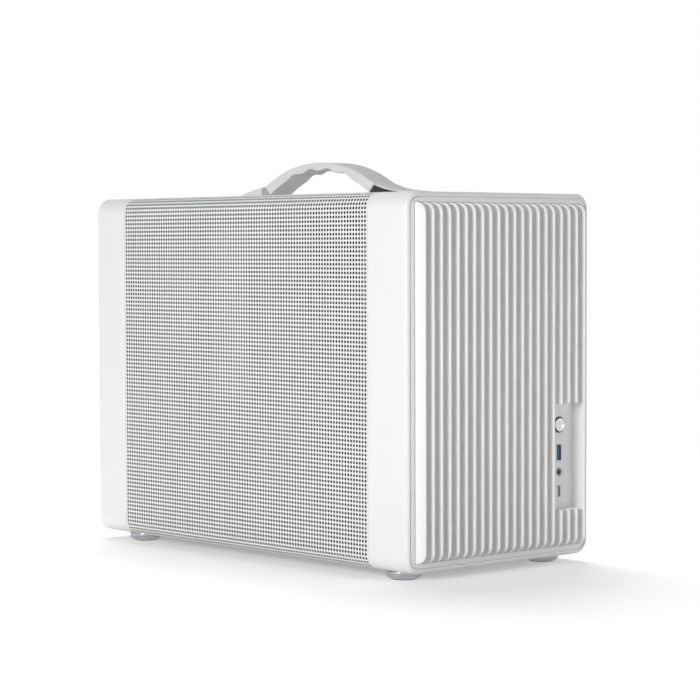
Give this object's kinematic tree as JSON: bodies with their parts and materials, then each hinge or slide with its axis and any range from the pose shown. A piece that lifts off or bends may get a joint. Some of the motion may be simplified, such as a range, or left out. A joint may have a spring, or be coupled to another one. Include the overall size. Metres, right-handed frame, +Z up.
{
  "type": "micro-atx pc case",
  "caption": "White micro-ATX computer case with a fluted front, perforated pull-off sides, a flexible top carry handle, a front port recess and bright round feet.",
  "frame": {"origin": "on the floor under the middle of the case's box", "axes": "+Z up, -Y to the fluted front, -X to the board's access side"},
  "size_m": [0.2, 0.4, 0.3235],
  "materials": {
    "white_plastic": "fine satin moulding",
    "white_steel": "white powder coat",
    "black_steel": "black powder coat",
    "soft_white": "soft moulded grip",
    "chrome": "polished",
    "port_steel": "drawn shell",
    "black_plastic": "moulded",
    "circuit_board": "solder mask",
    "zinc": "zinc plated",
    "brass": "turned",
    "rubber": "moulded pad"
  },
  "bodies": {
    "case": {"front_bezel": "white_plastic", "front_grille": "white_plastic", "rear_bezel": "white_plastic", "io_panel": "white_plastic", "top_panel": "white_steel", "rear_panel": "black_steel", "front_frame": "black_steel", "floor_pan": "black_steel", "motherboard_tray": "black_steel", "psu_bracket": "black_steel", "drive_bracket": "black_steel", "slot_cover_1": "black_steel", "slot_cover_2": "black_steel", "slot_cover_3": "black_steel", "slot_cover_4": "black_steel", "slot_retainer": "black_steel", "handle_plate_front": "black_steel", "handle_plate_rear": "black_steel", "handle": "soft_white", "foot_front_left": "chrome", "foot_front_right": "chrome", "foot_rear_left": "chrome", "foot_rear_right": "chrome", "usb_a_port": "port_steel", "usb_c_port": "port_steel", "audio_jack": "black_plastic", "power_switch": "black_plastic", "power_inlet": "black_plastic", "left_clips": "black_plastic", "right_clips": "black_plastic", "io_board": "circuit_board", "foot_screws": "zinc", "handle_screws": "zinc", "inlet_screws": "zinc", "retainer_screws": "zinc", "standoffs": "brass", "foot_pad_front_left": "rubber", "foot_pad_front_right": "rubber", "foot_pad_rear_left": "rubber", "foot_pad_rear_right": "rubber", "handle_core": "rubber"},
    "left_side": {"left_panel": "white_steel", "left_studs": "zinc"},
    "right_side": {"right_panel": "white_steel", "right_studs": "zinc"},
    "button": {"power_button": "chrome"}
  },
  "joints": [
    {"name": "left_panel_pull", "type": "slide", "parent": "case", "child": "left_side", "axis": [-1, 0, 0], "range_m": [0, 0.15]},
    {"name": "right_panel_pull", "type": "slide", "parent": "case", "child": "right_side", "axis": [1, 0, 0], "range_m": [0, 0.15]},
    {"name": "power_button_press", "type": "slide", "parent": "case", "child": "button", "axis": [0, 1, 0], "range_m": [0, 0.0012], "stiffness_N_per_m": 600, "springref_m": -0.001}
  ]
}
